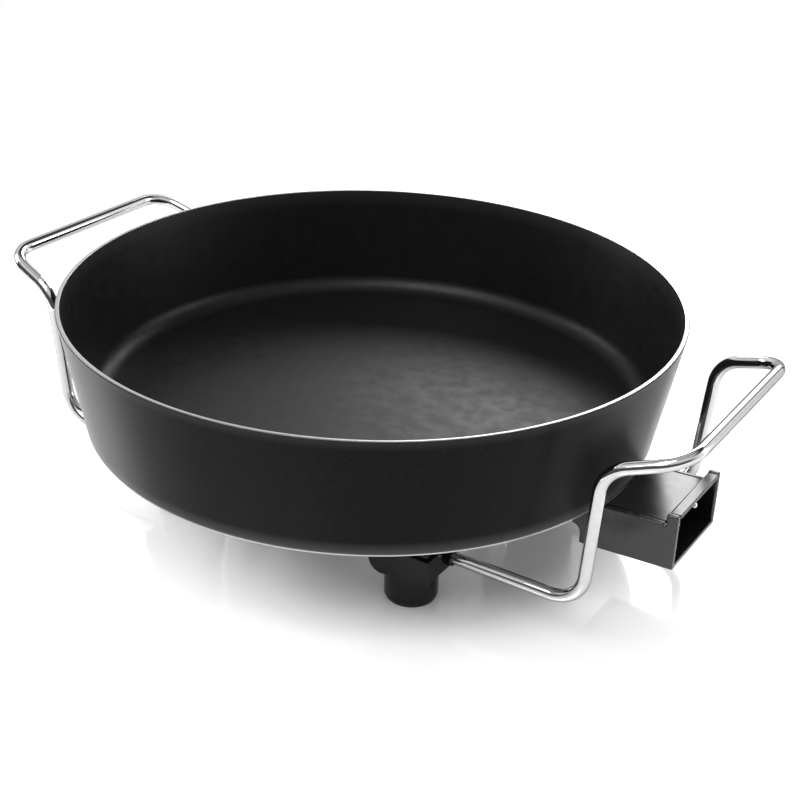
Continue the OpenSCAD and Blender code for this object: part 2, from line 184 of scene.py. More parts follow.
def tube(path, radius, aside, around=48):
    """Round rod: at every station a circle of cos t * first + sin t * second.

    The first direction is square to the path and to one direction that the path never takes, so
    it can't vanish. The second is square to both.
    """
    tangent = np.gradient(path, axis=0)
    tangent /= np.linalg.norm(tangent, axis=1, keepdims=True)
    first = np.cross(tangent, aside)
    first /= np.linalg.norm(first, axis=1, keepdims=True)
    second = np.cross(tangent, first)
    t = np.linspace(0, 2 * np.pi, around, endpoint=False)[None, :, None]
    return skin(path[:, None] + radius * (np.cos(t) * first[:, None] + np.sin(t) * second[:, None]))


print("a turned line has", len(turned([[1, 0], [1, 1]])[0]), "points")

# %% [markdown]
# ## Mouldings
#
# Feet, socket and cover are moulded plastic: flat faces with a small radius on every edge, which
# is what catches the light. A Bevel modifier on a box would do it, but a prism with a drawn-in
# end is simpler to control. The outline is drawn square to an axis and carried along it. Near
# each end it draws in on a quarter circle, so a corner's radius has to be larger than the edge's
# or the corner would fold over. Extra loops are holes.

# %% Helpers: a prism with rounded edges
AXES = {"x": [1, 2, 0], "y": [2, 0, 1], "z": [0, 1, 2]}


def drawn_in(loop, hole, draw, depth):
    """Grid of one loop at several depths, each drawn in by its own amount.

    The normal of a corner is the mitre of its two sides, (n1 + n2) / (1 + n1 . n2).
    """
    x, y = loop.T
    if (np.sum(x * np.roll(y, -1) - y * np.roll(x, -1)) > 0) == hole:
        loop = loop[::-1]
    d = np.roll(loop, -1, 0) - loop
    n = np.stack([d[:, 1], -d[:, 0]], -1) / np.linalg.norm(d, axis=1, keepdims=True)
    m = np.roll(n, 1, 0)
    mitre = (n + m) / (1 + (n * m).sum(1, keepdims=True))
    flat = loop[None] - mitre[None] * draw[:, None, None]
    return np.concatenate([flat, np.broadcast_to(depth[:, None, None], flat.shape[:2] + (1,))], -1)


def moulding(outline, low, high, along, edge=0.4, holes=(), steps=5):
    """Prism from low to high whose edges have a radius e.

    At a depth of e (1 - cos t) from each end, the outline is drawn in by e (1 - sin t).
    """
    t = np.linspace(0, np.pi / 2, steps)
    depth = np.r_[low + edge * (1 - np.cos(t)), (high - edge * (1 - np.cos(t)))[::-1]]
    draw = edge * np.r_[1 - np.sin(t), (1 - np.sin(t))[::-1]]
    order = -1 if along == "y" else 1
    loops = [np.asarray(loop, float)[:, ::order] for loop in (outline, *holes)]
    grids = [drawn_in(loop, k > 0, draw, depth) for k, loop in enumerate(loops)]
    starts = np.cumsum([0] + [grid.size // 3 for grid in grids])
    points = np.concatenate([grid.reshape(-1, 3) for grid in grids])
    faces = [skin(grid, caps=False)[1][0] + start for grid, start in zip(grids, starts)]
    for station, facing in ((0, -1), (2 * steps - 1, 1)):
        rims = [start + station * len(loop) + np.arange(len(loop))
                for loop, start in zip(loops, starts)]
        flat = [[Vector((*points[k, :2], 0)) for k in rim] for rim in rims]
        cap = np.concatenate(rims)[np.array(tessellate_polygon(flat))]
        a, b, c = points[cap, :2].transpose(1, 0, 2)
        area = (b - a)[:, 0] * (c - a)[:, 1] - (b - a)[:, 1] * (c - a)[:, 0]
        back = area * facing < 0
        cap[back] = cap[back, ::-1]
        faces.append(cap)
    placed = np.empty_like(points)
    placed[:, AXES[along]] = points
    return placed, faces


def box_outline(x0, x1, y0, y1, radius=0.4, steps=5):
    """Rectangle with rounded corners."""
    return rounded([[x0, y0], [x1, y0], [x1, y1], [x0, y1]], radius, steps)


def circle_outline(x, y, radius, points=40):
    """Circle, as a closed loop of points."""
    t = np.linspace(0, 2 * np.pi, points, endpoint=False)
    return np.stack([x + radius * np.cos(t), y + radius * np.sin(t)], -1)


cube_faces = moulding(box_outline(0, 5, 0, 5), 0, 5, "z")[1]
print("a moulded cube has", sum(len(group) for group in cube_faces), "faces")

# %% [markdown]
# ## Pieces on the frame
#
# Each finished piece is one object at the origin with its place in its mesh, as a CAD node is.
# It rides on the frame's one body, hides the CAD node that it stands for, and gets its finishes
# as materials. Smooth shading with sharp edges over 35 degrees lets the small radii look round.
# On its own it would also make the flat faces beside them look bulged, because a corner's normal
# is the mean of its faces. A Weighted Normal modifier lets the large faces win, so that flat
# gloss stays flat.

# %% Helpers: a piece from shells
SHARP_ANGLE = math.radians(35)


def mirrored(shell, x=1, y=1):
    """Shell on the other side of the pan.

    A single mirror turns the faces round, so they are turned back.
    """
    points, faces = shell
    return points * np.array([x, y, 1]), [f[:, ::-1] for f in faces] if x * y < 0 else faces


def moved(shell, place=(0, 0, 0), lay=None):
    """Shell turned so that its Z axis lies along X, if asked, and then moved."""
    points, faces = shell
    return (points[:, [2, 0, 1]] if lay == "x" else points) + np.array(place, float), faces


def piece(name, shells, finishes, node, marks=None):
    """Object from shells in millimetres; marks gives each face's place in the list of finishes."""
    starts = np.cumsum([0] + [len(points) for points, _ in shells])
    points = np.concatenate([points for points, _ in shells]) * MM
    faces = [face for (_, groups), start in zip(shells, starts)
             for group in groups for face in (group + start).tolist()]
    mesh = bpy.data.meshes.new(name)
    mesh.from_pydata(points, [], faces)
    mesh.polygons.foreach_set("use_smooth", np.ones(len(faces), bool))
    for material in finishes:
        mesh.materials.append(material)
    if marks is not None:
        mesh.polygons.foreach_set("material_index", np.asarray(marks, np.int32))
    mesh.set_sharp_from_angle(angle=SHARP_ANGLE)
    mesh.update()
    thing = bpy.data.objects.new(name, mesh)
    scene.collection.objects.link(thing)
    thing.modifiers.new("flat_faces", "WEIGHTED_NORMAL").keep_sharp = True
    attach(thing, "root")
    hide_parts(node)
    print(name, "for", node + ":", len(faces), "faces")
    return thing


print("nodes to dress:", ", ".join(sorted(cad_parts)))

# %% [markdown]
# ## Finishes
#
# Every finish is a Principled shader with a little life in it. A noise field on Object
# coordinates moves the colour, another one the roughness, and a fine one raises a bump. Object
# coordinates are metres on this object, so a noise scale of 1000 has features of a millimetre.
# An image would do the same, but nodes stay sharp at any distance. A ramp over the height can mix
# in a third, lighter colour, which paints light bands as a painted reflection. What is the same
# all over a finish, such as its gloss level or its sheen, is set on the shader itself.

# %% Helpers: ramps, ranges and bumps
def colour_ramp(nodes, stops):
    """Colour ramp; each stop is a position and a colour, or a position and one grey."""
    stops = [(position, (*np.broadcast_to(colour, 3).tolist(), 1)) for position, colour in stops]
    ramp = nodes.new("ShaderNodeValToRGB")
    elements = ramp.color_ramp.elements
    for end in (0, -1):
        elements[end].position, elements[end].color = stops[end]
    for position, colour in stops[1:-1]:
        elements.new(position).color = colour
    return ramp


def map_range(nodes, links, value, span=(0, 1), to=(0, 1), smooth=False):
    """Socket that gives a value's place in a span, carried over to another span."""
    node = nodes.new("ShaderNodeMapRange")
    node.interpolation_type = "SMOOTHSTEP" if smooth else "LINEAR"
    for socket, limit in zip(("From Min", "From Max", "To Min", "To Max"), (*span, *to)):
        node.inputs[socket].default_value = limit
    links.new(value, node.inputs["Value"])
    return node.outputs["Result"]


def raise_bump(nodes, links, height, strength, distance):
    """Bump from a height field, into the Principled shader's normal."""
    node = nodes.new("ShaderNodeBump")
    node.inputs["Strength"].default_value = strength
    node.inputs["Distance"].default_value = distance
    links.new(height, node.inputs["Height"])
    links.new(node.outputs["Normal"], nodes["Principled BSDF"].inputs["Normal"])


print("made helpers for ramps, ranges and bumps")

# %% Helper: a finish from nodes
COLOUR_SPAN, ROUGH_SPAN, BUMP_HEIGHT = (0.35, 0.65), (0.3, 0.7), 0.0002
# A Mix node has one set of sockets for each kind of data, so its colour sockets go by number.
MIX_SHARE, MIX_A, MIX_B, MIX_RESULT = 0, 6, 7, 2


def finish(name, dark, light, rough, metal=0.0, grain=900, bump=0.0, bump_grain=2500,
           drawn=(1, 1, 1), painted_reflection=None, **constants):
    """Material whose colour runs from dark to light, and its roughness over a range, by noise.

    The optional painted reflection is a colour and the stops of a ramp over the pan's height,
    from the base at 0 to the rim at 1. The ramp gives the share of that lighter colour, which
    paints a reflection. The constants are the shader's sockets.
    """
    material = bpy.data.materials.new(name)
    material.use_nodes = True
    nodes, links = material.node_tree.nodes, material.node_tree.links
    shader = nodes["Principled BSDF"]
    shader.inputs["Metallic"].default_value = metal
    for socket, value in constants.items():
        title = socket.replace("_", " ").title().replace("Ior", "IOR")
        shader.inputs[title].default_value = value
    place = nodes.new("ShaderNodeTexCoord")
    mapping = nodes.new("ShaderNodeMapping")
    mapping.inputs["Scale"].default_value = drawn
    links.new(place.outputs["Object"], mapping.inputs["Vector"])

    def noise(scale, detail):
        field = nodes.new("ShaderNodeTexNoise")
        field.inputs["Scale"].default_value = scale
        field.inputs["Detail"].default_value = detail
        links.new(mapping.outputs["Vector"], field.inputs["Vector"])
        return field.outputs["Fac"]

    ramp = colour_ramp(nodes, list(zip(COLOUR_SPAN, (dark, light))))
    links.new(noise(grain, 3), ramp.inputs["Fac"])
    colour = ramp.outputs["Color"]
    # A lighter colour mixed in over the height paints a reflection into the base colour.
    if painted_reflection:
        parts, reflection_mix = nodes.new("ShaderNodeSeparateXYZ"), nodes.new("ShaderNodeMix")
        links.new(place.outputs["Object"], parts.inputs["Vector"])
        height = map_range(nodes, links, parts.outputs["Z"], (BASE_Z * MM, RIM_Z * MM))
        share = colour_ramp(nodes, painted_reflection[1])
        links.new(height, share.inputs["Fac"])
        reflection_mix.data_type = "RGBA"
        reflection_mix.inputs[MIX_B].default_value = (*painted_reflection[0], 1)
        links.new(share.outputs["Color"], reflection_mix.inputs[MIX_SHARE])
        links.new(colour, reflection_mix.inputs[MIX_A])
        colour = reflection_mix.outputs[MIX_RESULT]
    links.new(colour, shader.inputs["Base Color"])
    spread = map_range(nodes, links, noise(grain / 7, 4), ROUGH_SPAN, rough)
    links.new(spread, shader.inputs["Roughness"])
    if bump:
        raise_bump(nodes, links, noise(bump_grain, 2), bump, BUMP_HEIGHT)
    return material


print("a grain of 900 has features of", round(1 / 900 / MM, 1), "mm")

# %% [markdown]
# ## Finish: the two coatings
#
# The outside wears a satin black coating, the inside a duller non-stick one. Both are sprayed on
# blasted aluminium, so a slightly uneven gloss tells them from plain plastic, and the inside has
# a very fine bump. An image of scratches could do this, but noise needs no file. Seen flat on,
# the outside is nearly black. Seen along the surface, the sides of its fine grain catch the
# light and it turns grey, which is what the shader's sheen does. Both coatings are painted a
# little lighter under the rim, and the outer one along the base edge too, as painted reflections.

# %% Coatings
# Painted reflections: lighter bands along the outer base edge and under the outer rim.
OUTER_PAINTED_REFLECTION = ((0.0, 1.0), (0.011, 1.0), (0.063, 0.55), (0.13, 0.0),
              (0.92, 0.0), (0.985, 0.25), (1.0, 0.3))
# Painted reflection: the inner coat is painted lighter in a band under the rim.
INNER_PAINTED_REFLECTION = ((0.0, 0.0), (0.86, 0.0), (0.98, 0.4), (1.0, 0.45))
outer_coat = finish("satin_black_coat", (0.003, 0.003, 0.0035), (0.007, 0.007, 0.0075),
                    (0.29, 0.31), grain=700, painted_reflection=((0.085, 0.085, 0.087), OUTER_PAINTED_REFLECTION),
                    specular_ior_level=0.08, sheen_weight=0.33, sheen_roughness=0.30)
inner_coat = finish("black_nonstick_coat", (0.003, 0.003, 0.003), (0.007, 0.007, 0.007),
                    (0.36, 0.46), grain=900, bump=0.06, bump_grain=3000,
                    painted_reflection=((0.035, 0.035, 0.035), INNER_PAINTED_REFLECTION), specular_ior_level=0.25)
print("coatings:", outer_coat.name, inner_coat.name)

# %% [markdown]
# ## Finish: turned aluminium
#
# The rim and the underside are bare metal that was faced on a lathe, so the tool left rings
# round the axis. A wave texture makes rings too, but they are all alike. A noise that reads only
# the distance from the axis gives uneven ones: the Object coordinates go through a length, and
# the length drives the noise.

# %% Turned aluminium
RING_SPAN, RING_SHADE, RING_HEIGHT = (0.3, 0.7), 0.86, 0.0001


def turned_metal(name, colour, rough, rings, bump):
    """Bare metal with tool rings: noise of the distance from the pan's axis."""
    material = bpy.data.materials.new(name)
    material.use_nodes = True
    nodes, links = material.node_tree.nodes, material.node_tree.links
    shader = nodes["Principled BSDF"]
    shader.inputs["Metallic"].default_value = 1.0
    place = nodes.new("ShaderNodeTexCoord")
    flat = nodes.new("ShaderNodeMapping")
    flat.inputs["Scale"].default_value = (1, 1, 0)
    reach = nodes.new("ShaderNodeVectorMath")
    reach.operation = "LENGTH"
    field = nodes.new("ShaderNodeTexNoise")
    field.noise_dimensions = "1D"
    field.inputs["Scale"].default_value = rings
    field.inputs["Detail"].default_value = 3
    links.new(place.outputs["Object"], flat.inputs["Vector"])
    links.new(flat.outputs["Vector"], reach.inputs[0])
    links.new(reach.outputs["Value"], field.inputs["W"])
    shades = ([c * RING_SHADE for c in colour], colour)
    ramp = colour_ramp(nodes, list(zip(RING_SPAN, shades)))
    links.new(field.outputs["Fac"], ramp.inputs["Fac"])
    links.new(ramp.outputs["Color"], shader.inputs["Base Color"])
    spread = map_range(nodes, links, field.outputs["Fac"], to=rough)
    links.new(spread, shader.inputs["Roughness"])
    raise_bump(nodes, links, field.outputs["Fac"], bump, RING_HEIGHT)
    return material


bare_rim = turned_metal("bare_turned_rim", (0.56, 0.56, 0.57), (0.22, 0.40), 3000, 0.10)
bare_base = turned_metal("bare_turned_base", (0.74, 0.74, 0.75), (0.28, 0.45), 1400, 0.25)
print("bare metal:", bare_rim.name, bare_base.name)

# %% [markdown]
# ## Pan
#
# The pan is spun from one disc: flat base, tight outer edge, a wall that leans out by ten
# degrees, and a softly crowned rim that was ground bare, so it shows as a bright ring inside a
# thin dark line of coating. The base was faced after coating, which leaves a narrow bare land
# at its edge. A lathe profile is the natural way. It runs from under the base, up the outside,
# over the rim and down the inside, and each stretch takes its finish from where it lies.

# %% Pan profile
WALL, FLOOR, LAND_R, LAND_Z = 2.743, 5.0, 166.0, 60.25
EDGE_R, EDGE_START, CROWN_R, BOWL_ROUND, MIDDLE_R = 4.0, np.radians(36), 178.6, 12.0, 18.0
LEAN = (RIM_R - BASE_R) / (RIM_Z - BASE_Z)
inner_rim = RIM_R - WALL
inner_base = inner_rim - (RIM_Z - BASE_Z - FLOOR) * LEAN
edge_turn = np.arctan2(1, LEAN)
edge = np.linspace(EDGE_START, edge_turn, 12)
edge_centre = np.array([BASE_R - EDGE_R * np.tan(edge_turn / 2), BASE_Z + EDGE_R])
corner = edge_centre + EDGE_R * np.stack([np.sin(edge), -np.cos(edge)], -1)
land = [[MIDDLE_R, BASE_Z], [LAND_R - 0.1, BASE_Z], [LAND_R, BASE_Z + 0.1], [LAND_R, LAND_Z]]
rim = [[RIM_R - 0.07, RIM_Z - 0.4], [CROWN_R, RIM_Z + 0.05], [inner_rim, RIM_Z - 0.3]]
bowl = [[inner_base, BASE_Z + FLOOR], [MIDDLE_R, BASE_Z + FLOOR]]
upper = rounded([corner[-1], *rim, *bowl], [0, 0.7, 3, 0.35, BOWL_ROUND, 0], 14, closed=False)
profile = np.concatenate([land, corner, upper[1:]])
print("pan profile:", len(profile), "points, highest", round(float(profile[:, 1].max()), 2))

# %% Pan body
AROUND, CROWN_FACING = 256, 0.85
OUTER, INNER, RIM, BASE = range(4)
along = np.diff(profile, axis=0)
middle = (profile[1:] + profile[:-1]) / 2
facing_up = -along[:, 0] / np.linalg.norm(along, axis=1)
wall_middle = np.interp(middle[:, 1], [BASE_Z, RIM_Z], [inner_base, inner_rim]) + WALL / 2
mark = np.where(middle[:, 0] > wall_middle, OUTER, INNER)
mark[(facing_up > CROWN_FACING) & (middle[:, 1] > RIM_Z - 1)] = RIM
mark[middle[:, 1] < LAND_Z + 0.02] = BASE
piece("pan_spun_body", [turned(profile, AROUND)], [outer_coat, inner_coat, bare_rim, bare_base],
      "pan_body", np.r_[np.repeat(mark, AROUND), BASE, INNER])

# %% [markdown]
# ## Under the pan
#
# A cast rib under the base holds the ring of the heating element, a lug holds the probe tube,
# and four studs take the foot screws. From the side they hide behind the feet, from below they
# are the first thing to see. The rib is a rounded profile carried along an arc. It could be a
# curve with a bevel object, but the grid gives clean ends for free.

# %% Rib, lug and studs
RING_R, RIB_W, RIB_Z, RIB_END, TURN_R = 82.655, 14.0, 47.7, math.radians(2), 18.0
LUG_X0, LUG_X1, LUG_Y = 88.0, 148.5, 5.8
STUD_CORE, STUD_R, STUD_Y = 3.0, 5.0, 84.0
turn_x = math.sqrt((RING_R + TURN_R) ** 2 - (LEG_GAP + TURN_R) ** 2)
turn_a = math.atan2(LEG_GAP + TURN_R, turn_x)
cast_metal = finish("cast_aluminium", (0.42, 0.42, 0.43), (0.55, 0.55, 0.56), (0.40, 0.58),
                    metal=1.0, grain=500, bump=0.25, bump_grain=1600)


def rib():
    """Rounded rectangle (r, z) turned through an open arc: (r cos a, r sin a, z)."""
    r0, r1 = RING_R - RIB_W / 2, RING_R + RIB_W / 2
    corners = [[r0, RIB_Z], [r1, RIB_Z], [r1, BASE_Z + 1], [r0, BASE_Z + 1]]
    r, z = rounded(corners, [2, 2, 0, 0])[::-1].T
    a = np.linspace(turn_a + RIB_END, 2 * np.pi - turn_a - RIB_END, 160)
    height = np.outer(np.ones_like(a), z)
    return skin(np.stack([np.outer(np.cos(a), r), np.outer(np.sin(a), r), height], -1))


lug = moulding(box_outline(LUG_X0, LUG_X1, -LUG_Y, LUG_Y, 1.5), RIB_Z, BASE_Z + 0.5, "z", edge=1.2)
stud = barrel(STUD_CORE, STUD_R, STUD_Z, BASE_Z + 0.5, (0.5, 0), steps=12)
studs = [moved(stud, (x * FOOT_X, y * STUD_Y, 0)) for x in (1, -1) for y in (1, -1)]
piece("pan_cast_rib", [rib(), lug, *studs], [cast_metal], "pan_body")

# %% [markdown]
# ## Heating element and probe tube
#
# The element is one steel tube bent to an open ring with two reversed bends, so that its legs
# run side by side into the socket. The path is arcs and lines in the order that a bending
# machine makes them. Heat has left the steel dull and a little brown. The probe tube between
# the legs guides the thermostat's feeler to the middle of the base.

# %% Element
ELEMENT_R = 4.0
sheath_steel = finish("heat_dulled_steel", (0.20, 0.17, 0.15), (0.36, 0.34, 0.33), (0.30, 0.50),
                      metal=1.0, grain=120, bump=0.08, bump_grain=1800)


def arc(x, y, radius, a0, a1, points):
    """Arc in the plane of the element: centre + radius (cos a, sin a)."""
    a = np.linspace(a0, a1, points)
    return np.stack([x + radius * np.cos(a), y + radius * np.sin(a), np.full(points, PIN_Z)], -1)


leg_end = np.array([[BULK_X1, LEG_GAP, PIN_Z]])
bend_in = arc(turn_x, LEG_GAP + TURN_R, TURN_R, 1.5 * np.pi, np.pi + turn_a, 20)
loop = arc(0, 0, RING_R, turn_a, 2 * np.pi - turn_a, 140)[1:-1]
bend_out, far_end = (part[::-1] * np.array([1, -1, 1]) for part in (bend_in, leg_end))
route = np.concatenate([leg_end, bend_in, loop, bend_out, far_end])
piece("element_sheath", [tube(route, ELEMENT_R, (0, 0, 1), 32)], [sheath_steel],
      "heating_element")

# %% Probe tube
CORE_R = 0.4
PROBE_X0, PROBE_X1, PROBE_R, PROBE_BORE, PROBE_END = 91.655, 177.8, 3.5, 2.7, 2.0
tube_steel = finish("drawn_steel_tube", (0.52, 0.52, 0.53), (0.64, 0.64, 0.65), (0.18, 0.34),
                    metal=1.0, grain=900, drawn=(0.05, 1, 1), bump=0.05, bump_grain=2500)
probe_corners = [[CORE_R, PROBE_X0], [PROBE_R, PROBE_X0], [PROBE_R, PROBE_X1],
                 [PROBE_BORE, PROBE_X1], [PROBE_BORE, PROBE_X0 + PROBE_END],
                 [CORE_R, PROBE_X0 + PROBE_END]]
probe_wall = rounded(probe_corners, [0, 0.6, 0.2, 0.2, 0.3, 0], steps=6, closed=False)
piece("probe_guide_tube", [moved(turned(probe_wall, 40), (0, 0, PIN_Z), "x")], [tube_steel],
      "probe_tube")

# %% [markdown]
# ## Terminal pins and seals
#
# Each leg of the element ends in a ceramic seal with a plated pin through it. A pin is turned on
# a lathe: thin stem, shoulder, and a domed tip that shows as one bright dot in the dark socket.
# A cylinder with half a sphere would do, but one turned profile has no seam below the tip.

# %% Pins and seals
PIN_X0, PIN_X1, PIN_R, STEM_R, DOME_END = 165.0, 201.9, 2.1, 1.3, np.radians(84)
SEAL_X1, SEAL_R, SEAL_CORE = 177.8, 3.8, 1.2
plated_pin = finish("nickel_plated_pin", (0.66, 0.65, 0.61), (0.76, 0.75, 0.71), (0.10, 0.20),
                    metal=1.0, grain=1500, bump=0.03)
ceramic = finish("unglazed_ceramic", (0.74, 0.70, 0.62), (0.84, 0.81, 0.75), (0.55, 0.75),
                 grain=1500, bump=0.15)
dome = np.linspace(0, DOME_END, 12)
tip = np.stack([PIN_R * np.cos(dome), PIN_X1 + PIN_R * np.sin(dome)], -1)
stem = [[CORE_R, PIN_X0], [STEM_R, PIN_X0], [STEM_R, SEAL_X1], [PIN_R, SEAL_X1]]
pin = turned(np.concatenate([stem, tip]), 40)
seal = barrel(SEAL_CORE, SEAL_R, BULK_X1, SEAL_X1, (0.2, 0.5))
for hand, y in (("left", -LEG_GAP), ("right", LEG_GAP)):
    piece("pin_" + hand, [moved(pin, (0, y, PIN_Z), "x")], [plated_pin],
          "terminal_pin_" + hand)
    piece("seal_" + hand, [moved(seal, (0, y, PIN_Z), "x")], [ceramic],
          "terminal_seal_" + hand)

# %% [markdown]
# ## Handles
#
# Each handle is a single chrome rod with six bends: under the pan, up beside the wall, out over
# the shoulder, along the grip and back. A bevelled curve could make it, but chrome shows every
# flat spot, so the bends are worked out as true arcs with many stations. The plating is nearly a
# mirror, and the faint noise in its gloss is what polishing leaves. The metal's edge tint is set
# much darker than chrome's own, which paints a dark edge that draws the rod's outline before a
# white ground.

# %% Handles
ROD_R, BEND_R = 3.5, 19.0
# The dark edge tint paints a dark outline along the rod.
chrome = finish("bright_chrome_plate", (0.75, 0.755, 0.76), (0.80, 0.805, 0.81), (0.03, 0.07),
                metal=1.0, grain=300, bump=0.012, bump_grain=700, specular_tint=(0.2, 0.2, 0.2, 1))
# Corners of half a rod: its end in the foot, the riser's lower end, the shoulder and the grip.
half = np.array([[70.5, LEG_Y, ROD_Z], [178.0, LEG_Y, ROD_Z],
                 [183.6, 75.0, 110.2], [223.6, 68.3, 123.8]])
rod_corners = np.concatenate([half, half[::-1] * np.array([1, -1, 1])])
rod_path = rounded(rod_corners, BEND_R, steps=32, closed=False)
rod = tube(rod_path, ROD_R, (1, -1, -1))
for hand, x in (("right", 1), ("left", -1)):
    piece("rod_handle_" + hand, [mirrored(rod, x)], [chrome], "handle_" + hand)
rod_length = np.linalg.norm(np.diff(rod_path, axis=0), axis=1).sum()
print("one rod is", round(float(rod_length)), "mm long")

# %% [markdown]
# ## Feet
#
# A foot is one moulding: a round post on the table, a block that grips the rod, a narrower neck
# up to the pan and a collar where the rod comes out. Four closed shells that pass into each
# other make it. A Boolean could join them, but the real mould leaves crisp lines where they
# meet, so it would change nothing that shows. The block's inner lower corner is a large round,
# and its underside rises towards the rod. A rubber pad plugs the post from below.

# %% Feet
BLOCK_X0, BLOCK_X1, BLOCK_ROUND, BLOCK_TOP = 62.0, 100.0, 8.5, 34.5
BLOCK_Z0, BLOCK_Z1, RISE_X, POST_Z = 17.0, 20.5, 70.55, 1.4
NECK_HALF_X, NECK_HALF_Y, COLLAR_X, COLLAR_R = 17.0, 13.0, 103.0, 5.1
foot_plastic = finish("moulded_black_foot", (0.003, 0.003, 0.003), (0.006, 0.006, 0.006),
                      (0.10, 0.18), grain=1200, bump=0.02, bump_grain=2200, specular_ior_level=0.28)
block_corners = [[BLOCK_X0, BLOCK_TOP], [BLOCK_X0, BLOCK_Z0], [RISE_X, BLOCK_Z0],
                 [BLOCK_X1, BLOCK_Z1], [BLOCK_X1, BLOCK_TOP]]
block = moulding(rounded(block_corners, [0.6, BLOCK_ROUND, 0, 0.6, 0.6], 14),
                 FOOT_Y - FOOT_R, FOOT_Y + FOOT_R, "y", edge=0.5)
neck = moulding(box_outline(FOOT_X - NECK_HALF_X, FOOT_X + NECK_HALF_X,
                            FOOT_Y - NECK_HALF_Y, FOOT_Y + NECK_HALF_Y, 1.0),
                BLOCK_TOP - 1, BASE_Z, "z", edge=0.2)
post = moved(barrel(5, FOOT_R, POST_Z, BLOCK_TOP - 1, (1.5, 0), 10, 96), (FOOT_X, FOOT_Y, 0))
collar = moved(barrel(3, COLLAR_R, BLOCK_X1 - 1, COLLAR_X, (0, 0.6), 8, 48),
               (0, LEG_Y, ROD_Z), "x")
CORNERS = {"front_right": (1, -1), "rear_right": (1, 1),
           "front_left": (-1, -1), "rear_left": (-1, 1)}
for corner_name, (x, y) in CORNERS.items():
    piece("moulded_foot_" + corner_name, [mirrored(s, x, y) for s in (block, neck, post, collar)],
          [foot_plastic], "foot_" + corner_name)

# %% Rubber pads
PAD_CORE, PAD_R, PAD_Z, PLUG_R, PLUG_Z = 3.0, 14.0, 1.45, 12.1, 6.4
pad_rubber = finish("black_rubber_pad", (0.016, 0.016, 0.016), (0.03, 0.03, 0.03), (0.70, 0.88),
                    grain=1500, bump=0.3)
pad_corners = [[PAD_CORE, 0], [PAD_R, 0], [PAD_R, PAD_Z], [PLUG_R, PAD_Z], [PLUG_R, PLUG_Z],
               [PAD_CORE, PLUG_Z]]
pad = turned(rounded(pad_corners, [0, 0.5, 0.2, 0, 0.3, 0], 6, closed=False), 80)
pads = [moved(pad, (x * FOOT_X, y * FOOT_Y, 0)) for x, y in CORNERS.values()]
piece("rubber_pads", pads, [pad_rubber], "foot_pads")

# %% [markdown]
# ## Socket shell
#
# The socket is an open box: two side plates that rise to posts at the mouth, a floor, a bulkhead
# and a flared neck that is screwed under the pan. Its underside climbs by three degrees from the
# neck to the mouth. It could be cut out of a block, but the small edges matter most here,
# because they draw the thin bright lines round the dark mouth. So each plate is a moulding with
# its own outline and its own edges. The floor and the clamp blocks are moulded level and then
# tipped: points below a level drop by their distance from the mouth times the climb.

# %% Socket sizes
RAKE = math.tan(math.radians(3))
SOCK_Z0, NECK_X, FLARE_Z, INSIDE_Z, BULK_Z0, TIP_BELOW = 36.7, 155.0, 39.87, 39.1, 38.5, 38.0
COVER_Z0, COVER_Z1, BAR_X, GROOVE_X, PLATE_X, STEP_Z = 59.0, 61.2, 202.4, 201.2, 166.5, 62.0
BAR_FALL = (MOUTH_X - BAR_X) * RAKE
SIDE_Y0, TUNNEL_Y, FLARE_Y, CLAMP_Y1, FLOOR_Y, BULK_Y = 26.1, 17.2, 28.0, 28.4, 28.8, 26.5
PLATE_EDGE, PLATE_CORNER, SMALL_EDGE = 1.0, 1.1, 0.3
COLUMN_X, COLUMN_Y, COLUMN_R, COLUMN_Z0, COLUMN_Z1 = 174.98, 22.8, 4.38, 38.9, 51.0
CLAMP_X, CLAMP_Y, BORE_R, SEAT_Z, SCREW_CORE = 159.8, 23.35, 3.18, 39.98, 1.9


def lid_height(x):
    """Height of the raked top over x."""
    return COVER_Z1 + (x - BASE_R) * RAKE


def tipped(shell, below=TIP_BELOW):
    """Shell whose points under a level drop by (mouth x - x) times the climb."""
    points, faces = shell
    drop = np.where(points[:, 2] < below, (MOUTH_X - points[:, 0]) * RAKE, 0)
    return points - drop[:, None] * np.array([0, 0, 1]), faces


neck_edge = SOCK_Z0 - (MOUTH_X - NECK_X) * RAKE
print("the neck's lower edge is", round(neck_edge, 2), "mm over the table")

# %% Socket sides
scoop_r = NECK_X - FLARE_X
scoop_a = np.linspace(np.pi / 2, 0, 14)
scoop = np.stack([FLARE_X + scoop_r * np.cos(scoop_a), FLARE_Z + scoop_r * np.sin(scoop_a)], -1)
plate_end = [[NECK_X, NECK_Z], [MOUTH_X, SOCK_Z0], [MOUTH_X, SOCK_Z1],
             [BAR_X, SOCK_Z1 - BAR_FALL], [BAR_X, STEP_Z], [GROOVE_X, STEP_Z],
             [GROOVE_X, lid_height(GROOVE_X)], [PLATE_X, lid_height(PLATE_X)], [PLATE_X, BASE_Z]]
end_radii = [2.0, PLATE_CORNER, PLATE_CORNER, PLATE_CORNER, 0.2, 0.2, 0, PLATE_CORNER, 0]
plate = np.concatenate([[[FLARE_X, BASE_Z]], scoop, plate_end])
plate_radii = np.r_[PLATE_CORNER, np.zeros(len(scoop)), end_radii]
side_plate = moulding(rounded(plate, plate_radii, 6), SIDE_Y0, SIDE_Y1, "y", edge=PLATE_EDGE)
flare_end = [[NECK_X + 1, FLARE_Z], [NECK_X + 1, BASE_Z]]
flare = moulding(np.concatenate([[[FLARE_X, BASE_Z]], scoop, flare_end]),
                 TUNNEL_Y, FLARE_Y, "y", edge=0.2)
print("side plate:", len(side_plate[0]), "points, flare:", len(flare[0]), "points")

